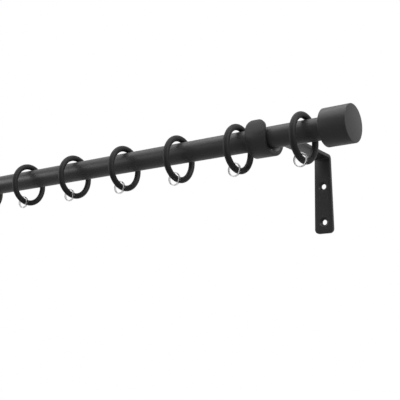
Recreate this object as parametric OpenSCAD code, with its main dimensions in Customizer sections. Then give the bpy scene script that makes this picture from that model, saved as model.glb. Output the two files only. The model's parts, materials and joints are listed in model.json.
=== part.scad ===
// Curtain rod on two wall brackets, with finials, rings and clear eyelets.
// Origin: middle of the four wall screw holes, on the wall. +X along the rod,
// +Y into the wall, +Z up. Millimetres.

/* [Rod] */
// Length over the outer faces of the two finials
overall_l = 1000; // [900:10:1200]
// Outer diameter of the rod
rod_d = 20; // [16:0.5:24]
// Wall of the rod's tube
rod_wall = 1.2; // [0.8:0.1:2]
// Height of the rod's axis over the middle of the wall screw holes
rod_height = 43; // [38:0.5:60]
// Distance of the rod's axis from the wall
rod_reach = 116; // [80:1:160]

/* [Finials] */
// Outer diameter of a finial
finial_d = 33.6; // [31:0.2:40]
// Length of a finial
finial_l = 25.3; // [20:0.1:34]
// Thickness of the finial's solid end
finial_end = 7.3; // [4:0.1:9]
// Chamfer round both rims of a finial
finial_chamfer = 0.5; // [0.2:0.1:1]

/* [Bracket strip] */
// Distance of a bracket's middle from the finial's outer face
bracket_inset = 88.8; // [72:0.2:94]
// Width of the bracket's strip at the hook and at the foot of the wall plate
strip_w = 20; // [18:0.5:24]
// Thickness of the strip
strip_t = 3.5; // [2.5:0.1:4]
// Width of the strip at the bend against the wall
waist_w = 17; // [12:0.5:17.5]
// Slope of the arm down toward the wall, in degrees
arm_fall = 2.2; // [0:0.1:5]
// Height of the arm's underside over the rod's axis, behind the hook
arm_rise = 6.4; // [6:0.1:9]

/* [Bracket hook] */
// How much larger the hook's inner radius is than the rod's
hook_room = 3.85; // [2.5:0.05:5]
// Direction from the rod's axis to the hook's centre, up from the wall side, in degrees
hook_shift = 23; // [0:1:35]
// Inward lean of the tongue that stands in front of the rod, in degrees
tongue_lean = 13; // [5:1:20]
// Straight length of the tongue
tongue_l = 10.2; // [8:0.1:12]
// Corner radius at the tongue's free end
tongue_corner = 7.2; // [2:0.1:7.6]
// Inner radius of the bend from hook to arm
hook_bend = 4; // [2:0.1:4.2]

/* [Wall plate] */
// Inner radius of the bend from arm to wall plate
wall_bend = 1; // [0.5:0.1:3]
// Height between the two screw holes of a plate
hole_gap = 36; // [28:1:44]
// Diameter of a wall screw hole
hole_d = 5.2; // [4:0.1:6]
// Diameter of a hole's countersink at the plate's face
sink_d = 9.6; // [7:0.1:10]
// Metal below the centre of the lower hole
plate_foot = 11.3; // [8:0.1:16]
// Radius of the plate's lower corners
plate_corner = 4.5; // [2:0.1:6.5]

/* [Screws] */
// Thread diameter of the screw that clamps the rod
clamp_d = 5; // [4:0.5:6]
// Head diameter of that screw
clamp_head_d = 8; // [7:0.1:8.4]
// Head length of that screw
clamp_head_l = 4.5; // [3:0.1:6]
// Gap left between that head and the back of the hook
clamp_head_gap = 0.8; // [0.5:0.1:2]
// Width of the screwdriver slot in that head
clamp_slot = 1.2; // [0.8:0.1:1.6]
// Diameter of the grub screw that holds a finial
grub_d = 4; // [3:0.5:5]
// How far the grub screw sits below the finial's skin
grub_sunk = 0.6; // [0.3:0.1:1.2]
// Distance of the grub screw from the finial's open end
grub_inset = 6.5; // [5:0.1:9]
// Width across the flats of the grub screw's key socket
grub_key = 2; // [1.5:0.1:2]

/* [Rings] */
// Inner diameter of a ring
ring_id = 34.3; // [33:0.1:42]
// Diameter of a ring's wire
wire_d = 5.9; // [4:0.1:6.2]
// Distance of the first ring from the finial's outer face
ring_end = 45.3; // [34:0.1:60]
// Extra distance that each gap between rings gains toward the middle
ring_growth = 1.05; // [0:0.05:2]
// Swing of the hung rings round the rod, out toward the room, in degrees
ring_swing = 24; // [0:1:40]

/* [Eyelets] */
// Inner diameter of the clear eyelet hung on a ring
eyelet_id = 11; // [10:0.1:13]
// Wall of the eyelet
eyelet_wall = 1; // [0.6:0.1:1.5]
// Length of the eyelet along the wire
eyelet_l = 2.5; // [1.5:0.1:5]
// Distance of the eyelet's middle from the ring's lowest point, toward the room
eyelet_lead = 7; // [0:0.5:9]

/* [Fits] */
// Radial clearance of the rod in a finial
socket_clear = 0.1; // [0.05:0.05:0.3]
// Radial clearance of a screw in its hole
thread_clear = 0.05; // [0.02:0.01:0.1]
// Gap between the rod and the hook that it lies in
seat_gap = 0.05; // [0.02:0.01:0.2]
// Gap between the rod and a ring hung on it
ring_gap = 0.3; // [0.1:0.05:0.5]
// Gap between a ring's wire and the eyelet hung on it
eyelet_gap = 0.2; // [0.1:0.05:0.4]
// Gap between a screw's tip and the rod
tip_gap = 0.1; // [0.05:0.05:0.3]

/* [Hidden] */

// Sides of the circles behind the round faces
fn_round = 96;
fn_small = 48;
// How far a cutting shape runs past the face it cuts
cut = 1;
// How far a countersink's cutter runs on past the face
bite = 0.5;
// Step left where a rounding or a taper starts, so that no cut only grazes a face
step = 0.02;
// Largest angle that one flat of a bent surface spans, in degrees
arc_step = 4;

rod_r = rod_d / 2;
finial_r = finial_d / 2;
wire_r = wire_d / 2;
half_l = overall_l / 2;
rod_end = half_l - finial_end - socket_clear;
bracket_x = half_l - bracket_inset;

// Rings: 14, seven from each end, gaps growing evenly toward the middle.
// All 13 gaps and the two end distances add up to the overall length.
ring_per_side = 7;
ring_gaps = 2 * ring_per_side - 1;
ring_extra = ring_growth * (ring_per_side - 1) * (ring_per_side - 1);
ring_step = (overall_l - 2 * ring_end - ring_extra) / ring_gaps;
ring_r = (ring_id + wire_d) / 2;
ring_hang = ring_id / 2 - rod_r - ring_gap;
ring_y = -rod_reach - ring_hang * sin(ring_swing);
ring_z = rod_height - ring_hang * cos(ring_swing);

// Eyelets: each hangs by its front end on the rising wire
eyelet_r = eyelet_id / 2;
eyelet_front = eyelet_lead + eyelet_l / 2;
eyelet_drop = sqrt(pow(ring_id / 2, 2) - pow(eyelet_front, 2)) - eyelet_gap + eyelet_r;

// Bracket strip in its side view: y toward the wall, z up
hook_ri = rod_r + hook_room;
hook_ro = hook_ri + strip_t;
hook_off = hook_room - seat_gap;
hook_y = -rod_reach + hook_off * cos(hook_shift);
hook_z = rod_height + hook_off * sin(hook_shift);
bend_y = hook_y + hook_ro + hook_bend;
bend_z = rod_height + arm_rise - hook_bend;
turn_y = -strip_t - wall_bend;
turn_z = bend_z + (hook_bend - wall_bend) / cos(arm_fall) - (turn_y - bend_y) * tan(arm_fall);
plate_low = -hole_gap / 2 - plate_foot;

// Points of an arc round c, from angle a0 on to a1
function arc(c, r, a0, a1) =
    let (n = ceil(abs(a1 - a0) / arc_step))
    [for (k = [0 : n]) c + r * [cos(a0 + (a1 - a0) * k / n), sin(a0 + (a1 - a0) * k / n)]];

// Distance of ring i's middle from x = 0; rings are counted from the left
function from_end(k) = ring_end + k * ring_step + ring_growth * k * (k - 1) / 2;
function ring_x(i) = i <= ring_per_side
    ? from_end(i - 1) - half_l
    : half_l - from_end(2 * ring_per_side - i);

steel = [0.19, 0.19, 0.19];
ring_black = [0.14, 0.14, 0.14];
clear = [0.85, 0.87, 0.88, 0.4];

// Tube of the rod
module rod_tube() {
    color(steel)
        translate([-rod_end, -rod_reach, rod_height])
            rotate([0, 90, 0])
                difference() {
                    cylinder(h = 2 * rod_end, r = rod_r, $fn = fn_round);
                    translate([0, 0, -cut])
                        cylinder(h = 2 * (rod_end + cut), r = rod_r - rod_wall, $fn = fn_round);
                }
}

// Finial on +X, as a turned cap with a blind socket for the rod
module finial_cap() {
    c = finial_chamfer;
    socket_r = rod_r + socket_clear;
    translate([half_l, -rod_reach, rod_height])
        rotate([0, -90, 0])
            difference() {
                rotate_extrude($fn = fn_round)
                    polygon([
                        [0, 0],
                        [finial_r - c, 0],
                        [finial_r, c],
                        [finial_r, finial_l - c],
                        [finial_r - c, finial_l],
                        [0, finial_l]
                    ]);
                translate([0, 0, finial_end])
                    cylinder(h = finial_l, r = socket_r, $fn = fn_round);
                translate([0, 0, finial_l - grub_inset])
                    rotate([-90, 0, 0])
                        cylinder(h = finial_r + cut, r = grub_d / 2, $fn = fn_small);
            }
}

module finial_right() {
    color(steel) finial_cap();
}

module finial_left() {
    color(steel) mirror([1, 0, 0]) finial_cap();
}

// Grub screw of the +X finial, its key socket facing the wall
module grub_screw() {
    tip = rod_r + tip_gap;
    top = finial_r - grub_sunk;
    key_r = grub_key / sqrt(3);
    translate([half_l - finial_l + grub_inset, -rod_reach, rod_height])
        rotate([-90, 0, 0])
            difference() {
                translate([0, 0, tip])
                    cylinder(h = top - tip, r = grub_d / 2 - thread_clear, $fn = fn_small);
                translate([0, 0, (tip + top) / 2])
                    cylinder(h = top, r = key_r, $fn = 6);
            }
}

module finial_screws() {
    color(steel) {
        grub_screw();
        mirror([1, 0, 0]) grub_screw();
    }
}

// Side view of the whole strip, y and z. One side runs from the tongue's end
// round the hook, under the arm and down the plate's face; the other returns
// up the plate's back, over the arm and round the hook's inside.
module strip_profile() {
    hook = [hook_y, hook_z];
    corner = [bend_y, bend_z];
    turn = [turn_y, turn_z];
    lean = 180 - tongue_lean;
    up = tongue_l * [sin(lean), -cos(lean)];
    polygon(concat(
        [hook + hook_ro * [cos(lean), sin(lean)] + up],
        arc(hook, hook_ro, lean, 360),
        arc(corner, hook_bend, 180, 90 - arm_fall),
        arc(turn, wall_bend, 90 - arm_fall, 0),
        [[-strip_t, plate_low], [0, plate_low]],
        arc(turn, wall_bend + strip_t, 0, 90 - arm_fall),
        arc(corner, hook_bend + strip_t, 90 - arm_fall, 180),
        arc(hook, hook_ri, 360, lean),
        [hook + hook_ri * [cos(lean), sin(lean)] + up]
    ));
}

// What rounding takes off a square corner at the origin, solid on -x and -z,
// the strip's thickness running from y = 0 to -y
module corner_waste(r) {
    far = 2 * cut;
    translate([0, far, 0])
        rotate([90, 0, 0])
            linear_extrude(strip_t + 2 * far)
                polygon(concat(
                    arc([-r, -r], r - step, 0, 90),
                    [[-r, far], [far, far], [far, -r]]
                ));
}

// What narrowing to the waist takes off the +x side of arm and plate
module waist_waste() {
    half = strip_w / 2 - step;
    waist = waist_w / 2;
    out = strip_w / 2 + cut;
    foot = plate_low - cut;
    translate([0, 0, turn_z])
        linear_extrude(hook_ro + arm_rise)
            polygon([[half, bend_y], [waist, turn_y], [waist, cut], [out, cut], [out, bend_y]]);
    translate([0, 2 * cut, 0])
        rotate([90, 0, 0])
            linear_extrude(strip_t + 4 * cut)
                polygon([[half, foot], [waist, turn_z + cut], [out, turn_z + cut], [out, foot]]);
}

// Bore and countersink of one wall screw
module wall_hole(z) {
    sink = (sink_d - hole_d) / 2;
    translate([0, cut, z])
        rotate([90, 0, 0])
            cylinder(h = strip_t + 2 * cut, r = hole_d / 2, $fn = fn_small);
    translate([0, -strip_t + sink, z])
        rotate([90, 0, 0])
            cylinder(h = sink + bite, r1 = hole_d / 2, r2 = sink_d / 2 + bite, $fn = fn_small);
}

// One bracket, bent from one strip
module bracket() {
    difference() {
        translate([-strip_w / 2, 0, 0])
            rotate([90, 0, 90])
                linear_extrude(strip_w) strip_profile();
        for (side = [0, 1])
            mirror([side, 0, 0]) {
                waist_waste();
                translate([0, hook_y, hook_z])
                    rotate([-tongue_lean, 0, 0])
                        translate([strip_w / 2, -hook_ri, tongue_l])
                            corner_waste(tongue_corner);
                translate([strip_w / 2, 0, plate_low])
                    rotate([0, 90, 0])
                        corner_waste(plate_corner);
            }
        wall_hole(hole_gap / 2);
        wall_hole(-hole_gap / 2);
        translate([0, -rod_reach, rod_height])
            rotate([-90, 0, 0])
                translate([0, 0, rod_r])
                    cylinder(h = 2 * hook_room + strip_t + cut, r = clamp_d / 2, $fn = fn_small);
    }
}

module bracket_left() {
    color(steel) translate([-bracket_x, 0, 0]) bracket();
}

module bracket_right() {
    color(steel) translate([bracket_x, 0, 0]) bracket();
}

// Thumb screw through the back of the hook, its tip at the rod
module rod_screw() {
    tip = rod_r + tip_gap;
    head = hook_y + rod_reach + hook_ro + clamp_head_gap;
    head_r = clamp_head_d / 2;
    grips = 18;
    translate([0, -rod_reach, rod_height])
        rotate([-90, 0, 0])
            difference() {
                union() {
                    translate([0, 0, tip])
                        cylinder(h = head - tip, r = clamp_d / 2 - thread_clear, $fn = fn_small);
                    translate([0, 0, head])
                        cylinder(h = clamp_head_l, r = head_r, $fn = fn_small);
                }
                for (k = [0 : grips - 1])
                    rotate([0, 0, k * 360 / grips])
                        translate([head_r + 0.15, 0, head - cut])
                            cylinder(h = clamp_head_l + 2 * cut, r = 0.4, $fn = 16);
                translate([-head_r - cut, -clamp_slot / 2, head + clamp_head_l - clamp_slot])
                    cube([2 * (head_r + cut), clamp_slot, clamp_slot + cut]);
            }
}

module rod_screw_left() {
    color(steel) translate([-bracket_x, 0, 0]) rod_screw();
}

module rod_screw_right() {
    color(steel) translate([bracket_x, 0, 0]) rod_screw();
}

// Ring i, hung on the rod
module ring(i) {
    color(ring_black)
        translate([ring_x(i), ring_y, ring_z])
            rotate([0, 90, 0])
                rotate_extrude($fn = fn_round)
                    translate([ring_r, 0])
                        circle(r = wire_r, $fn = fn_small);
}

// Clear eyelet hung on ring i, open front and back
module eyelet(i) {
    color(clear)
        translate([ring_x(i), ring_y - eyelet_front, ring_z - eyelet_drop])
            rotate([-90, 0, 0])
                difference() {
                    cylinder(h = eyelet_l, r = eyelet_r + eyelet_wall, $fn = fn_small);
                    translate([0, 0, -cut])
                        cylinder(h = eyelet_l + 2 * cut, r = eyelet_r, $fn = fn_small);
                }
}

rod_tube();
finial_left();
finial_right();
finial_screws();
bracket_left();
bracket_right();
rod_screw_left();
rod_screw_right();
ring(1);  // ring_01
ring(2);  // ring_02
ring(3);  // ring_03
ring(4);  // ring_04
ring(5);  // ring_05
ring(6);  // ring_06
ring(7);  // ring_07
ring(8);  // ring_08
ring(9);  // ring_09
ring(10);  // ring_10
ring(11);  // ring_11
ring(12);  // ring_12
ring(13);  // ring_13
ring(14);  // ring_14
eyelet(1);  // eyelet_01
eyelet(2);  // eyelet_02
eyelet(3);  // eyelet_03
eyelet(4);  // eyelet_04
eyelet(5);  // eyelet_05
eyelet(6);  // eyelet_06
eyelet(7);  // eyelet_07
eyelet(8);  // eyelet_08
eyelet(9);  // eyelet_09
eyelet(10);  // eyelet_10
eyelet(11);  // eyelet_11
eyelet(12);  // eyelet_12
eyelet(13);  // eyelet_13
eyelet(14);  // eyelet_14
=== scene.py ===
# %% [markdown]
# # A curtain rod on two wall brackets
#
# The real object is a round steel rod that lies in two hooked brackets bent
# from flat strip. Plain round finials close its ends, black rings run on it,
# and a clear plastic eyelet hangs on each ring. The solid model comes first,
# as a frame in which nothing moves. Each visible piece is then made again
# with the soft edges and finishes of the real one, in the same place.

import json
import math

import bmesh
import bpy
from mathutils import Matrix, Vector


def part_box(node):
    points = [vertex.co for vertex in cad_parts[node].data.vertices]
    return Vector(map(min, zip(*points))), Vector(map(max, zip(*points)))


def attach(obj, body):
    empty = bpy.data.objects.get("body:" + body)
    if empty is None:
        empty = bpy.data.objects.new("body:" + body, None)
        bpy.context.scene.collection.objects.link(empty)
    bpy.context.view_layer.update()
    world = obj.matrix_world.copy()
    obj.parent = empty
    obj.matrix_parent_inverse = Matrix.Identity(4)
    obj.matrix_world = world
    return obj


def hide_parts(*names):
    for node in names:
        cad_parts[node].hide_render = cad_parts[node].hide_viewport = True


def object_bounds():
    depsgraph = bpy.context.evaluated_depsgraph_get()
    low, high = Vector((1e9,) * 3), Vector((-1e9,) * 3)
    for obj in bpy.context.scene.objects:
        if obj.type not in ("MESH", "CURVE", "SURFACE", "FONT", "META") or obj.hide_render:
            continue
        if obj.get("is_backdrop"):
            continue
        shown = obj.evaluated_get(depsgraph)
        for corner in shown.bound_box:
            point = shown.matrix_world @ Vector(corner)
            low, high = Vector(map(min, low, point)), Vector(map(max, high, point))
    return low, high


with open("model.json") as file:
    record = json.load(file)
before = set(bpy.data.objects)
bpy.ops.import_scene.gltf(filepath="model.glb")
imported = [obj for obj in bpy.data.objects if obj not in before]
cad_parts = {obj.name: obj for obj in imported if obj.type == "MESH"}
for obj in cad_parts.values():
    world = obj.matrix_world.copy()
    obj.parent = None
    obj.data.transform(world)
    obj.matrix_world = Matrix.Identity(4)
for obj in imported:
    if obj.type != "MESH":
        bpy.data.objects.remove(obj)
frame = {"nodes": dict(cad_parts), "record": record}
cad_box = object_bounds()
MM = 0.001
BASE = "rod_on_brackets"
RING_COUNT = sum(1 for name in frame["nodes"] if name.startswith("ring_"))
print("rings on the rod:", RING_COUNT)

# %% [markdown]
# ## Where things are
#
# Every place is read from the boxes of the solids, so the dressed pieces
# can't drift from the model. The rod's box gives its axis and radius, and
# a bracket's box gives the middle of its strip.

# %% Measure the solids
def middle(node):
    low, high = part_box(node)
    return (Vector(low) + Vector(high)) / 2


def extent(node):
    low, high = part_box(node)
    return Vector(high) - Vector(low)


rod_axis = middle("rod_tube")
rod_size = extent("rod_tube")
rod_r = rod_size.z / 2
finial_r = extent("finial_right").z / 2
finial_l = extent("finial_right").x
half_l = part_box("finial_right")[1][0]
print("rod radius mm:", round(rod_r / MM, 2), "half length mm:", round(half_l / MM, 1))

# %% [markdown]
# ## The camera
#
# The camera stands low in front of the right end and looks up along the rod.
# It is made first, because every later choice of polish is judged through it.
# A long lens keeps the rings close to their true ellipses.

# %% Set up the camera
camera_data = bpy.data.cameras.new("camera")
camera_data.lens = 71.91
camera_data.sensor_width = 36.0
camera_data.clip_start = 0.01
camera_data.clip_end = 50.0
camera = bpy.data.objects.new("camera", camera_data)
camera.location = (half_l + 276.5 * MM, rod_axis.y - 589.0 * MM, rod_axis.z - 179.7 * MM)
camera.rotation_euler = (math.radians(90.0 + 10.22), 0.0, math.radians(36.40))
bpy.context.scene.collection.objects.link(camera)
bpy.context.scene.camera = camera
bpy.context.scene.view_settings.view_transform = "Standard"

# %% [markdown]
# ## The studio
#
# A white room lights the real object from all round, a little more from
# above. A world that is white to the camera and to reflections, and dimmer
# as a lamp, does that without burning out the dark paint. Three large soft
# lamps shape it: one above, one high on the right that catches the flat end
# of the finial and the hook's edge, and a weak one from the left.

# %% Build the world
def seen_directly(tree):
    """1 for rays from the camera, off a gloss or through glass, else 0."""
    path = tree.nodes.new("ShaderNodeLightPath")
    first = tree.nodes.new("ShaderNodeMath")
    second = tree.nodes.new("ShaderNodeMath")
    first.operation = "MAXIMUM"
    second.operation = "MAXIMUM"
    tree.links.new(path.outputs["Is Camera Ray"], first.inputs[0])
    tree.links.new(path.outputs["Is Glossy Ray"], first.inputs[1])
    tree.links.new(first.outputs[0], second.inputs[0])
    tree.links.new(path.outputs["Is Transmission Ray"], second.inputs[1])
    return second.outputs[0]


SKY_AS_SEEN = 1.0
SKY_AS_LAMP = 0.07
world = bpy.data.worlds.new("studio")
bpy.context.scene.world = world
world.use_nodes = True
sky = world.node_tree
sky.nodes.clear()
sky_out = sky.nodes.new("ShaderNodeOutputWorld")
sky_mix = sky.nodes.new("ShaderNodeMixShader")
sky_seen = sky.nodes.new("ShaderNodeBackground")
sky_lamp = sky.nodes.new("ShaderNodeBackground")
for background, strength in ((sky_seen, SKY_AS_SEEN), (sky_lamp, SKY_AS_LAMP)):
    background.inputs["Color"].default_value = (1.0, 1.0, 1.0, 1.0)
    background.inputs["Strength"].default_value = strength
sky.links.new(seen_directly(sky), sky_mix.inputs["Fac"])
sky.links.new(sky_lamp.outputs[0], sky_mix.inputs[1])
sky.links.new(sky_seen.outputs[0], sky_mix.inputs[2])
sky.links.new(sky_mix.outputs[0], sky_out.inputs["Surface"])


def soft_lamp(name, place, aim, size, watts):
    data = bpy.data.lights.new(name, "AREA")
    data.shape = "DISK"
    data.size = size
    data.energy = watts
    lamp = bpy.data.objects.new(name, data)
    lamp.location = place
    lamp.rotation_euler = (Vector(aim) - Vector(place)).to_track_quat("-Z", "Y").to_euler()
    bpy.context.scene.collection.objects.link(lamp)


soft_lamp("lamp_above", (0.0, -0.5, 1.7), (0.1, -0.1, 0.0), 2.4, 41.0)
soft_lamp("lamp_right", (1.9, -0.1, 1.3), (0.45, -0.1, 0.0), 1.2, 40.0)
soft_lamp("lamp_left", (-1.7, -1.2, 0.5), (0.2, -0.1, 0.0), 1.0, 20.0)

# %% [markdown]
# ## The floor
#
# A pale floor lies well below the rod, as under a part held up for view. It
# is only a stage: it isn't part of the object. It shows near white to the
# camera, and turns quite white toward its rim, so no edge shows. It sends less
# light back up, and still takes the rod's soft shadow. From below it is clear,
# so the underside of the rod can be looked at.

# %% Lay the floor
FLOOR_Z = -0.45
FLOOR_R = 4.5
FLOOR_SIDES = 96
FLOOR_COLOUR = (0.30, 0.30, 0.298, 1.0)
FLOOR_GLOW = 0.50
RIM_GLOW = 1.0
GLOW_STARTS = 0.8
mesh = bpy.data.meshes.new("floor")
bm = bmesh.new()
bmesh.ops.create_circle(bm, cap_ends=True, segments=FLOOR_SIDES, radius=FLOOR_R)
bmesh.ops.translate(bm, verts=bm.verts, vec=(0.0, 0.0, FLOOR_Z))
bm.to_mesh(mesh)
bm.free()
floor = bpy.data.objects.new("floor", mesh)
bpy.context.scene.collection.objects.link(floor)
floor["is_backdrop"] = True
floor_paint = bpy.data.materials.new("pale_floor")
floor_paint.use_nodes = True
floor_tree = floor_paint.node_tree
floor_shader = floor_tree.nodes["Principled BSDF"]
floor_shader.inputs["Base Color"].default_value = FLOOR_COLOUR
floor_shader.inputs["Roughness"].default_value = 0.9
floor_shader.inputs["Specular IOR Level"].default_value = 0.0
link = floor_tree.links.new
floor_coords = floor_tree.nodes.new("ShaderNodeTexCoord")
from_middle = floor_tree.nodes.new("ShaderNodeVectorMath")
from_middle.operation = "LENGTH"
link(floor_coords.outputs["Object"], from_middle.inputs[0])
rim_range = floor_tree.nodes.new("ShaderNodeMapRange")
rim_range.interpolation_type = "SMOOTHSTEP"
rim_range.inputs["From Min"].default_value = GLOW_STARTS
rim_range.inputs["From Max"].default_value = FLOOR_R
rim_range.inputs["To Min"].default_value = FLOOR_GLOW
rim_range.inputs["To Max"].default_value = RIM_GLOW
link(from_middle.outputs["Value"], rim_range.inputs["Value"])
floor_glow = floor_tree.nodes.new("ShaderNodeEmission")
link(rim_range.outputs["Result"], floor_glow.inputs["Strength"])
floor_sum = floor_tree.nodes.new("ShaderNodeAddShader")
link(floor_shader.outputs[0], floor_sum.inputs[0])
link(floor_glow.outputs[0], floor_sum.inputs[1])
floor_mix = floor_tree.nodes.new("ShaderNodeMixShader")
link(seen_directly(floor_tree), floor_mix.inputs["Fac"])
link(floor_shader.outputs[0], floor_mix.inputs[1])
link(floor_sum.outputs[0], floor_mix.inputs[2])
floor_side = floor_tree.nodes.new("ShaderNodeNewGeometry")
floor_clear = floor_tree.nodes.new("ShaderNodeBsdfTransparent")
floor_sides = floor_tree.nodes.new("ShaderNodeMixShader")
link(floor_side.outputs["Backfacing"], floor_sides.inputs["Fac"])
link(floor_mix.outputs[0], floor_sides.inputs[1])
link(floor_clear.outputs[0], floor_sides.inputs[2])
link(floor_sides.outputs[0], floor_tree.nodes["Material Output"].inputs["Surface"])
mesh.materials.append(floor_paint)

# %% [markdown]
# ## Finishes
#
# Rod, finials and brackets are powder coated. The powder melts into a matt
# film with a faint pebble, about half a millimetre from crest to crest, so
# the colour and the roughness both drift a little and a fine bump breaks the
# highlights. The pattern is worked out from Object coordinates, which stay
# put on each piece.

# %% Make the powder coat
# A noise keeps mostly between these two values.
NOISE_LOW = 0.3
NOISE_HIGH = 0.7
DRIFT_PER_METRE = 45.0
ROUGHNESS_DRIFT = 0.04
PEBBLE_STRENGTH = 0.18
PEBBLE_HEIGHT = 0.00012


def new_material(name):
    material = bpy.data.materials.new(name)
    material.use_nodes = True
    tree = material.node_tree
    return material, tree, tree.nodes["Principled BSDF"]


def add_noise(tree, coords, per_metre, detail, roughness=0.5):
    noise = tree.nodes.new("ShaderNodeTexNoise")
    noise.inputs["Scale"].default_value = per_metre
    noise.inputs["Detail"].default_value = detail
    noise.inputs["Roughness"].default_value = roughness
    tree.links.new(coords.outputs["Object"], noise.inputs["Vector"])
    return noise


def add_ramp(tree, source, low, high):
    ramp = tree.nodes.new("ShaderNodeValToRGB")
    ramp.color_ramp.elements[0].position = NOISE_LOW
    ramp.color_ramp.elements[0].color = (*low, 1.0)
    ramp.color_ramp.elements[1].position = NOISE_HIGH
    ramp.color_ramp.elements[1].color = (*high, 1.0)
    tree.links.new(source, ramp.inputs["Fac"])
    return ramp


def add_range(tree, source, low, high):
    spread = tree.nodes.new("ShaderNodeMapRange")
    spread.inputs["From Min"].default_value = NOISE_LOW
    spread.inputs["From Max"].default_value = NOISE_HIGH
    spread.inputs["To Min"].default_value = low
    spread.inputs["To Max"].default_value = high
    tree.links.new(source, spread.inputs["Value"])
    return spread


def add_bump(tree, source, strength, distance):
    bump = tree.nodes.new("ShaderNodeBump")
    bump.inputs["Strength"].default_value = strength
    bump.inputs["Distance"].default_value = distance
    tree.links.new(source, bump.inputs["Height"])
    return bump


def painted(name, dark, light, rough, pebble, gloss):
    """Matt paint: darkest and lightest grey, roughness, pebbles per metre, gloss."""
    material, tree, shader = new_material(name)
    coords = tree.nodes.new("ShaderNodeTexCoord")
    drift = add_noise(tree, coords, DRIFT_PER_METRE, 3.0)
    grain = add_noise(tree, coords, pebble, 4.0, 0.6)
    ramp = add_ramp(tree, drift.outputs["Fac"], dark, light)
    spread = add_range(
        tree, drift.outputs["Fac"], rough - ROUGHNESS_DRIFT, rough + ROUGHNESS_DRIFT
    )
    bump = add_bump(tree, grain.outputs["Fac"], PEBBLE_STRENGTH, PEBBLE_HEIGHT)
    tree.links.new(ramp.outputs["Color"], shader.inputs["Base Color"])
    tree.links.new(spread.outputs["Result"], shader.inputs["Roughness"])
    tree.links.new(bump.outputs["Normal"], shader.inputs["Normal"])
    shader.inputs["Specular IOR Level"].default_value = gloss
    return material


powder_coat = painted(
    "powder_coat", (0.018, 0.018, 0.0183), (0.023, 0.023, 0.0233), 0.42, 1900.0, 0.21
)
ring_coat = painted(
    "ring_coat", (0.016, 0.016, 0.016), (0.021, 0.021, 0.021), 0.50, 1500.0, 0.10
)
screw_black = painted(
    "screw_black", (0.013, 0.013, 0.0135), (0.018, 0.018, 0.0185), 0.38, 2400.0, 0.25
)

# %% [markdown]
# The eyelets are moulded in clear, slightly smoky plastic. Light goes through
# them, and only their rims and edges show, as thin grey lines. Full
# transmission, a little haze and a grey tint do that. The index is kept below
# that of a solid plastic, so that such thin walls don't flash white. A very
# faint ripple stands for the flow of the moulding.

# %% Make the clear plastic
SMOKE = (0.56, 0.565, 0.57, 1.0)
HAZE_LEAST = 0.22
HAZE_MOST = 0.30
PLASTIC_INDEX = 1.25
RIPPLE_PER_METRE = 260.0
RIPPLE_STRENGTH = 0.12
RIPPLE_HEIGHT = 0.0002
clear_plastic, tree, shader = new_material("clear_plastic")
coords = tree.nodes.new("ShaderNodeTexCoord")
ripple = add_noise(tree, coords, RIPPLE_PER_METRE, 2.0)
haze = add_range(tree, ripple.outputs["Fac"], HAZE_LEAST, HAZE_MOST)
bump = add_bump(tree, ripple.outputs["Fac"], RIPPLE_STRENGTH, RIPPLE_HEIGHT)
shader.inputs["Base Color"].default_value = SMOKE
shader.inputs["IOR"].default_value = PLASTIC_INDEX
shader.inputs["Transmission Weight"].default_value = 1.0
tree.links.new(haze.outputs["Result"], shader.inputs["Roughness"])
tree.links.new(bump.outputs["Normal"], shader.inputs["Normal"])

# %% [markdown]
# ## Turning a bmesh into a piece
#
# Each piece is shaped in millimetres about a handy origin, moved to its
# place, and stored in metres. Its object stays at the origin. It then rides
# on the body of the solid that it stands for, and that solid is hidden.

# %% Helpers for pieces
# Edges that turn by more degrees than this are drawn crisp.
CRISP_ANGLE = 35.0
# A cut can leave edges shorter than this, in mm, and they are merged.
SLIVER = 1e-4
# Edges that turn by more degrees than this are rounded off.
BEVEL_ANGLE = 40.0
BORE_SIDES = 40
BODY_OF = {
    node: body
    for body, nodes in frame["record"]["behaviour"]["bodies"].items()
    for node in nodes
}


def finish_piece(name, bm, place, material, node):
    """Stores a bmesh drawn in mm as the visible piece for one solid."""
    bmesh.ops.recalc_face_normals(bm, faces=bm.faces)
    bmesh.ops.transform(bm, verts=bm.verts, matrix=place @ Matrix.Scale(MM, 4))
    mesh = bpy.data.meshes.new(name)
    open_edges = sum(1 for edge in bm.edges if not edge.is_manifold)
    bm.to_mesh(mesh)
    bm.free()
    for face in mesh.polygons:
        face.use_smooth = True
    mesh.set_sharp_from_angle(angle=math.radians(CRISP_ANGLE))
    mesh.materials.append(material)
    piece = bpy.data.objects.new(name, mesh)
    bpy.context.scene.collection.objects.link(piece)
    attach(piece, BODY_OF[node])
    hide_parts(node)
    print(name, "faces:", len(mesh.polygons), "open edges:", open_edges)


def at(x, y, z):
    return Matrix.Translation((x, y, z))


def lathe(bm, profile, axis, steps):
    """Spins a closed outline of (radius, height) points, drawn in the x-z plane, about z."""
    verts = [bm.verts.new((r, 0.0, h)) for r, h in profile]
    edges = [bm.edges.new((a, b)) for a, b in zip(verts, verts[1:] + verts[:1])]
    bmesh.ops.spin(
        bm,
        geom=verts + edges,
        cent=(0.0, 0.0, 0.0),
        axis=(0.0, 0.0, 1.0),
        dvec=(0.0, 0.0, 0.0),
        angle=2.0 * math.pi,
        steps=steps,
        use_merge=True,
        use_duplicate=False,
    )
    bmesh.ops.remove_doubles(bm, verts=bm.verts, dist=1e-5)
    # a step of the outline that lies on the axis leaves an edge with no face
    loose = [edge for edge in bm.edges if not edge.link_faces]
    bmesh.ops.delete(bm, geom=loose, context="EDGES")
    turn = {
        "z": Matrix.Identity(4),
        "x": Matrix.Rotation(math.radians(90.0), 4, "Y"),
        "y": Matrix.Rotation(math.radians(-90.0), 4, "X"),
    }[axis]
    bmesh.ops.transform(bm, verts=bm.verts, matrix=turn)


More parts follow.
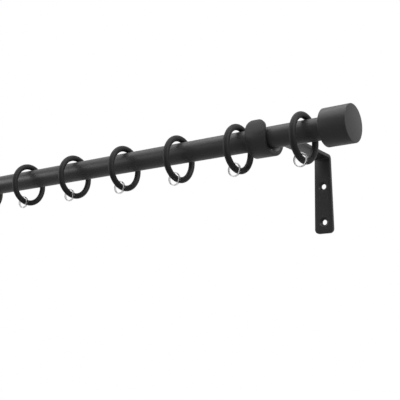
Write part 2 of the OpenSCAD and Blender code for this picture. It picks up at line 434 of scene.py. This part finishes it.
def soften(bm, width, only=None):
    """Rounds the edges that turn more sharply than BEVEL_ANGLE."""
    limit = math.radians(BEVEL_ANGLE)
    sharp = [
        edge
        for edge in bm.edges
        if len(edge.link_faces) == 2
        and edge.calc_face_angle() > limit
        and (only is None or only(edge))
    ]
    bmesh.ops.bevel(
        bm,
        geom=sharp,
        offset=width,
        offset_type="OFFSET",
        segments=2,
        profile=0.5,
        affect="EDGES",
        clamp_overlap=True,
        material=-1,
    )


def cut_with(bm, cutter):
    """Takes one closed bmesh away from another, and frees it."""
    blank = bpy.data.meshes.new("blank")
    tool = bpy.data.meshes.new("tool")
    bmesh.ops.recalc_face_normals(bm, faces=bm.faces)
    bmesh.ops.recalc_face_normals(cutter, faces=cutter.faces)
    bm.to_mesh(blank)
    cutter.to_mesh(tool)
    blank_object = bpy.data.objects.new("blank", blank)
    tool_object = bpy.data.objects.new("tool", tool)
    for helper in (blank_object, tool_object):
        bpy.context.scene.collection.objects.link(helper)
    modifier = blank_object.modifiers.new("cut", "BOOLEAN")
    modifier.operation = "DIFFERENCE"
    modifier.solver = "EXACT"
    modifier.object = tool_object
    bpy.context.view_layer.update()
    graph = bpy.context.evaluated_depsgraph_get()
    result = bpy.data.meshes.new_from_object(blank_object.evaluated_get(graph))
    bm.clear()
    bm.from_mesh(result)
    bmesh.ops.dissolve_degenerate(bm, dist=SLIVER, edges=bm.edges)
    for helper in (blank_object, tool_object):
        bpy.data.objects.remove(helper)
    for data in (blank, tool, result):
        bpy.data.meshes.remove(data)
    cutter.free()


def join(bm, other):
    """Copies one bmesh into another, and frees it."""
    scrap = bpy.data.meshes.new("scrap")
    other.to_mesh(scrap)
    other.free()
    bm.from_mesh(scrap)
    bpy.data.meshes.remove(scrap)


# %% [markdown]
# ## The rod
#
# The rod is a drawn steel tube. The section of its wall, a long thin
# rectangle, is spun about its axis. Its ends are hidden in the finials, so they are left
# square, as sawn.

# %% Make the rod
ROD_WALL = 1.2
ROD_SIDES = 96
rod_half = rod_size.x / 2 / MM
bm = bmesh.new()
wall_in = rod_r / MM - ROD_WALL
lathe(
    bm,
    [
        (wall_in, -rod_half),
        (rod_r / MM, -rod_half),
        (rod_r / MM, rod_half),
        (wall_in, rod_half),
    ],
    "x",
    ROD_SIDES,
)
finish_piece("rod", bm, at(*rod_axis), powder_coat, "rod_tube")

# %% [markdown]
# ## The finials
#
# A finial is a turned cap with a flat end, a faintly rounded rim and a
# socket that takes the rod. Its outline is spun about the rod's axis. The
# bore of its grub screw is cut at the back, square to the wall.

# %% Make the finials
FINIAL_SIDES = 128
RIM = 0.55
SOCKET_R = rod_r / MM + 0.1
SOCKET_LEAD = 0.3
FINIAL_END = 7.3
GRUB_D = 4.0
GRUB_INSET = 6.5
R = finial_r / MM
L = finial_l / MM


def rounded(center, radius, start, end, steps):
    return [
        (
            center[0] + radius * math.cos(math.radians(start + (end - start) * i / steps)),
            center[1] + radius * math.sin(math.radians(start + (end - start) * i / steps)),
        )
        for i in range(steps + 1)
    ]


def finial(side):
    bm = bmesh.new()
    outline = (
        [(0.0, L)]
        + rounded((R - RIM, L - RIM), RIM, 90.0, 0.0, 4)
        + rounded((R - RIM, RIM), RIM, 0.0, -90.0, 4)
        + [(SOCKET_R + SOCKET_LEAD, 0.0), (SOCKET_R, SOCKET_LEAD), (SOCKET_R, L - FINIAL_END)]
        + [(0.0, L - FINIAL_END)]
    )
    lathe(bm, outline, "x", FINIAL_SIDES)
    cutter = bmesh.new()
    bmesh.ops.create_cone(
        cutter, cap_ends=True, segments=BORE_SIDES, radius1=GRUB_D / 2, radius2=GRUB_D / 2, depth=R
    )
    turn = Matrix.Rotation(math.radians(90.0), 4, "X")
    bmesh.ops.transform(cutter, verts=cutter.verts, matrix=at(GRUB_INSET, R, 0.0) @ turn)
    cut_with(bm, cutter)
    if side < 0:
        bmesh.ops.transform(bm, verts=bm.verts, matrix=Matrix.Scale(-1.0, 4, (1.0, 0.0, 0.0)))
    return bm


for side, word in ((1, "right"), (-1, "left")):
    place = at(side * (half_l - finial_l), rod_axis.y, rod_axis.z)
    finish_piece("finial_cap_" + word, finial(side), place, powder_coat, "finial_" + word)

# %% [markdown]
# ## The brackets
#
# Each bracket is one strip of steel, 20 mm wide and 3.5 mm thick. A press
# bends it: up from the tongue, round under the rod, back over to the wall
# and down the wall plate. The same steps work here. A small rectangle is
# the strip's end; it is extruded where the strip is straight and spun where
# it bends.

# %% Bend the strip
STRIP_W = 20.0
STRIP_T = 3.5
WAIST_W = 17.0
ARM_FALL = 2.2
ARM_RISE = 6.4
HOOK_ROOM = 3.85
HOOK_SHIFT = 23.0
SEAT_GAP = 0.05
TONGUE_LEAN = 13.0
TONGUE_L = 10.2
TONGUE_CORNER = 7.2
HOOK_BEND = 4.0
WALL_BEND = 1.0
HOLE_GAP = 36.0
HOLE_D = 5.2
SINK_D = 9.6
PLATE_FOOT = 11.3
PLATE_CORNER = 4.5
CLAMP_D = 5.0
HOOK_STEPS = 72
ARM_BEND_STEPS = 24
WALL_BEND_STEPS = 16
CORNER_STEPS = 14
EDGE_ROUNDING = 0.35
rod_y = rod_axis.y / MM
rod_z = rod_axis.z / MM
hook_ri = rod_r / MM + HOOK_ROOM
hook_ro = hook_ri + STRIP_T
shift = HOOK_ROOM - SEAT_GAP
hook = Vector((
    0.0,
    rod_y + shift * math.cos(math.radians(HOOK_SHIFT)),
    rod_z + shift * math.sin(math.radians(HOOK_SHIFT)),
))
corner = Vector((0.0, hook.y + hook_ro + HOOK_BEND, rod_z + ARM_RISE - HOOK_BEND))
fall = math.radians(ARM_FALL)
turn_y = -STRIP_T - WALL_BEND
turn = Vector((
    0.0,
    turn_y,
    corner.z + (HOOK_BEND - WALL_BEND) / math.cos(fall) - (turn_y - corner.y) * math.tan(fall),
))
plate_low = -HOLE_GAP / 2 - PLATE_FOOT


def push(bm, faces, along):
    """Extrudes the strip's end face straight on, and returns the new end."""
    grown = bmesh.ops.extrude_face_region(bm, geom=faces)["geom"]
    verts = [item for item in grown if isinstance(item, bmesh.types.BMVert)]
    bmesh.ops.translate(bm, verts=verts, vec=along)
    return [item for item in grown if isinstance(item, bmesh.types.BMFace)]


def swing(bm, faces, centre, degrees, steps):
    """Bends the strip round a centre, and returns the new end."""
    verts = {v for f in faces for v in f.verts}
    edges = {e for f in faces for e in f.edges}
    grown = bmesh.ops.spin(
        bm,
        geom=list(verts) + list(edges) + list(faces),
        cent=centre,
        axis=(1.0, 0.0, 0.0),
        dvec=(0.0, 0.0, 0.0),
        angle=math.radians(degrees),
        steps=steps,
        use_merge=False,
        use_duplicate=False,
    )["geom_last"]
    return [item for item in grown if isinstance(item, bmesh.types.BMFace)]


def bent_strip():
    bm = bmesh.new()
    bmesh.ops.create_grid(bm, x_segments=1, y_segments=1, size=0.5)
    bmesh.ops.scale(bm, verts=bm.verts, vec=(STRIP_W, STRIP_T, 1.0))
    bmesh.ops.translate(bm, verts=bm.verts, vec=(0.0, -(hook_ri + hook_ro) / 2, 0.0))
    end = bm.faces[:]
    lean = Matrix.Rotation(math.radians(-TONGUE_LEAN), 4, "X")
    bmesh.ops.translate(bm, verts=bm.verts, vec=(0.0, 0.0, TONGUE_L))
    end = push(bm, end, (0.0, 0.0, -TONGUE_L))
    bmesh.ops.transform(bm, verts=bm.verts, matrix=Matrix.Translation(hook) @ lean)
    end = swing(bm, end, hook, 180.0 + TONGUE_LEAN, HOOK_STEPS)
    end = push(bm, end, (0.0, 0.0, corner.z - hook.z))
    end = swing(bm, end, corner, -(90.0 + ARM_FALL), ARM_BEND_STEPS)
    run = (turn.y - corner.y) / math.cos(fall) + (WALL_BEND - HOOK_BEND) * math.tan(fall)
    end = push(bm, end, (0.0, run * math.cos(fall), -run * math.sin(fall)))
    end = swing(bm, end, turn, -(90.0 - ARM_FALL), WALL_BEND_STEPS)
    push(bm, end, (0.0, 0.0, plate_low - turn.z))
    # a push that starts at the end of a swing leaves a face inside the strip
    inner = [f for f in bm.faces if all(len(e.link_faces) > 2 for e in f.edges)]
    bmesh.ops.delete(bm, geom=inner, context="FACES_ONLY")
    return bm


# %% [markdown]
# The strip is cut from a blank that narrows to a waist at the wall and
# widens again down the plate. Moving the strip's edges in or out makes the
# waist. Rounding the tongue's and the plate's corners is a bevel of the four
# short corner edges.

# %% Shape the strip's outline
def half_width(v):
    if v.y < corner.y:
        return STRIP_W / 2
    if v.z < turn.z - 1e-6:
        share = (turn.z - v.z) / (turn.z - plate_low)
        return (WAIST_W + (STRIP_W - WAIST_W) * share) / 2
    share = min(1.0, (v.y - corner.y) / (turn.y - corner.y))
    return (STRIP_W + (WAIST_W - STRIP_W) * share) / 2


def shape_outline(bm):
    for v in bm.verts:
        v.co.x = math.copysign(half_width(v.co), v.co.x)
    top = max(v.co.z for v in bm.verts if v.co.y < hook.y)
    ends = []
    for edge in bm.edges:
        a, b = (v.co for v in edge.verts)
        if abs(a.x - b.x) > 1e-4 or abs((a - b).length - STRIP_T) > 1e-3:
            continue
        at_tongue = a.y < hook.y and min(a.z, b.z) > top - 2.0
        at_foot = max(a.z, b.z) < plate_low + 1e-3
        if at_tongue:
            ends.append((edge, TONGUE_CORNER))
        if at_foot:
            ends.append((edge, PLATE_CORNER))
    for radius in (TONGUE_CORNER, PLATE_CORNER):
        bmesh.ops.bevel(
            bm,
            geom=[edge for edge, r in ends if r == radius and edge.is_valid],
            offset=radius,
            offset_type="OFFSET",
            segments=CORNER_STEPS,
            profile=0.5,
            affect="EDGES",
            clamp_overlap=False,
            material=-1,
        )


# %% [markdown]
# Every crisp edge of the strip is rounded a little, because powder never
# covers a knife edge. Then three holes are drilled: two countersunk ones for
# the wall screws and one in the back of the hook for the thumb screw. In the
# other order, a bore that grazes a line of the mesh leaves an edge so short
# that it would hold all of the rounding back.

# %% Soften and drill
PAST_BACK = 2.0
PAST_FACE = 1.0


def drill_cutter():
    cutter = bmesh.new()
    sink = (SINK_D - HOLE_D) / 2
    for z in (HOLE_GAP / 2, -HOLE_GAP / 2):
        hole = bmesh.new()
        outline = [
            (0.0, -PAST_BACK), (HOLE_D / 2, -PAST_BACK), (HOLE_D / 2, STRIP_T - sink),
            (SINK_D / 2 + PAST_FACE, STRIP_T + PAST_FACE), (0.0, STRIP_T + PAST_FACE),
        ]
        lathe(hole, outline, "y", BORE_SIDES)
        flip = Matrix.Rotation(math.pi, 4, "Z")
        bmesh.ops.transform(hole, verts=hole.verts, matrix=at(0.0, 0.0, z) @ flip)
        join(cutter, hole)
    depth = 2 * HOOK_ROOM + STRIP_T
    grown = bmesh.ops.create_cone(
        cutter,
        cap_ends=True,
        segments=BORE_SIDES,
        radius1=CLAMP_D / 2,
        radius2=CLAMP_D / 2,
        depth=depth,
    )["verts"]
    place = at(0.0, rod_y + rod_r / MM + depth / 2, rod_z)
    quarter = Matrix.Rotation(math.radians(90.0), 4, "X")
    bmesh.ops.transform(cutter, verts=grown, matrix=place @ quarter)
    return cutter


def bracket():
    bm = bent_strip()
    shape_outline(bm)
    soften(bm, EDGE_ROUNDING)
    cut_with(bm, drill_cutter())
    return bm


for word in ("right", "left"):
    place = at(middle("bracket_" + word).x, 0.0, 0.0)
    finish_piece("bent_bracket_" + word, bracket(), place, powder_coat, "bracket_" + word)

# %% [markdown]
# ## The screws
#
# A thumb screw with a knurled head goes through the back of each hook and
# presses on the rod. Its shaft carries a fine thread, which is a stack of
# ridges here, because at this size a true helix looks the same.

# %% Make the thumb screws
HEAD_D = 8.0
HEAD_L = 4.5
HEAD_ROUNDING = 0.25
SLOT_W = 1.2
PITCH = 0.8
THREAD_DEPTH = 0.32
THREAD_CLEAR = 0.05
KNURL_DEPTH = 0.25
KNURL_SIDES = 72


def thread(radius, length, pitch):
    """Half outline of a threaded shaft: ridges from its plain tip to its length."""
    root = radius - THREAD_DEPTH
    z = 0.35
    points = [(radius - 0.4, 0.0)]
    while z + pitch < length:
        points += [(root, z), (radius, z + 0.35 * pitch), (radius, z + 0.5 * pitch)]
        z += pitch
    return points + [(root, z)]


def knurled_head(bm, radius, start, length):
    ring = bmesh.ops.create_circle(bm, cap_ends=True, segments=KNURL_SIDES, radius=radius)["verts"]
    for i, v in enumerate(ring):
        if i % 4 in (0, 1):
            v.co *= 1.0 - KNURL_DEPTH / radius
    bmesh.ops.translate(bm, verts=ring, vec=(0.0, 0.0, start))
    cap = [f for f in bm.faces if all(v in ring for v in f.verts)]
    push(bm, cap, (0.0, 0.0, length))


def thumb_screw(node):
    bm = bmesh.new()
    low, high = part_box(node)
    total = (high[1] - low[1]) / MM
    shaft = total - HEAD_L
    outline = [(0.0, 0.0)] + thread(CLAMP_D / 2 - THREAD_CLEAR, shaft, PITCH) + [
        (CLAMP_D / 2 - 0.3, shaft + 0.5), (0.0, shaft + 0.5)
    ]
    lathe(bm, outline, "z", BORE_SIDES)
    head = bmesh.new()
    knurled_head(head, HEAD_D / 2, shaft, HEAD_L)
    soften(head, HEAD_ROUNDING, lambda e: abs(e.verts[0].co.z - e.verts[1].co.z) < 1e-5)
    slot = bmesh.new()
    bmesh.ops.create_cube(slot, size=1.0)
    bmesh.ops.scale(slot, verts=slot.verts, vec=(2 * HEAD_D, SLOT_W, 2 * SLOT_W))
    bmesh.ops.translate(slot, verts=slot.verts, vec=(0.0, 0.0, total))
    cut_with(head, slot)
    join(bm, head)
    bmesh.ops.transform(bm, verts=bm.verts, matrix=Matrix.Rotation(math.radians(-90.0), 4, "X"))
    centre = middle(node)
    place = at(centre.x, low[1], centre.z)
    finish_piece("thumb_screw_" + node.rsplit("_", 1)[1], bm, place, screw_black, node)


for word in ("right", "left"):
    thumb_screw("rod_screw_" + word)

# %% [markdown]
# The finials' grub screws lie below the skin in their bores. Only the key
# socket shows, so the solids' own shape is right, and they only take the
# black finish.

# %% Finish the grub screws
grubs = frame["nodes"]["finial_screws"]
grubs.data.materials.clear()
grubs.data.materials.append(screw_black)

# %% [markdown]
# ## The rings
#
# A ring is a closed loop of round wire in a black a little darker and less
# glossy than the rod's. One small circle, spun about the ring's axis, makes
# it. All rings share one recipe and differ only in place.

# %% Make the rings
RING_SIDES = 112
WIRE_SIDES = 28


def ring(node):
    size = extent(node)
    wire_r = size.x / 2 / MM
    ring_r = size.z / 2 / MM - wire_r
    bm = bmesh.new()
    last = 360.0 - 360.0 / WIRE_SIDES
    lathe(bm, rounded((ring_r, 0.0), wire_r, 0.0, last, WIRE_SIDES - 1), "x", RING_SIDES)
    finish_piece("hoop_" + node.rsplit("_", 1)[1], bm, at(*middle(node)), ring_coat, node)


for i in range(1, RING_COUNT + 1):
    ring("ring_%02d" % i)

# %% [markdown]
# ## The clear eyelets
#
# Each eyelet is a short clear loop with rounded rims. It hangs on its ring's
# wire, a little toward the room, and takes the curtain's hook. The outline
# of its wall, two straight sides and two half rounds, is spun about the
# loop's own axis.

# %% Make the eyelets
EYELET_WALL = 1.0
EYELET_SIDES = 72
LIP_STEPS = 6


def eyelet(node):
    size = extent(node)
    outer = size.z / 2 / MM
    inner = outer - EYELET_WALL
    half = size.y / 2 / MM
    lip = EYELET_WALL / 2
    bm = bmesh.new()
    middle_r = inner + lip
    outline = rounded((middle_r, half - lip), lip, 0.0, 180.0, LIP_STEPS)
    outline += rounded((middle_r, lip - half), lip, 180.0, 360.0, LIP_STEPS)
    lathe(bm, outline, "y", EYELET_SIDES)
    word = node.rsplit("_", 1)[1]
    finish_piece("clear_eyelet_" + word, bm, at(*middle(node)), clear_plastic, node)


for i in range(1, RING_COUNT + 1):
    eyelet("eyelet_%02d" % i)

# %% [markdown]
# ## The size
#
# The dressed object is meant to stay in the box of the solid model. Both boxes
# are printed side by side.

# %% Print both boxes and finish
look_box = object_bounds()
for axis, a, b in zip("xyz", zip(*cad_box), zip(*look_box)):
    print(axis, "solid", [round(v, 4) for v in a], "dressed", [round(v, 4) for v in b])
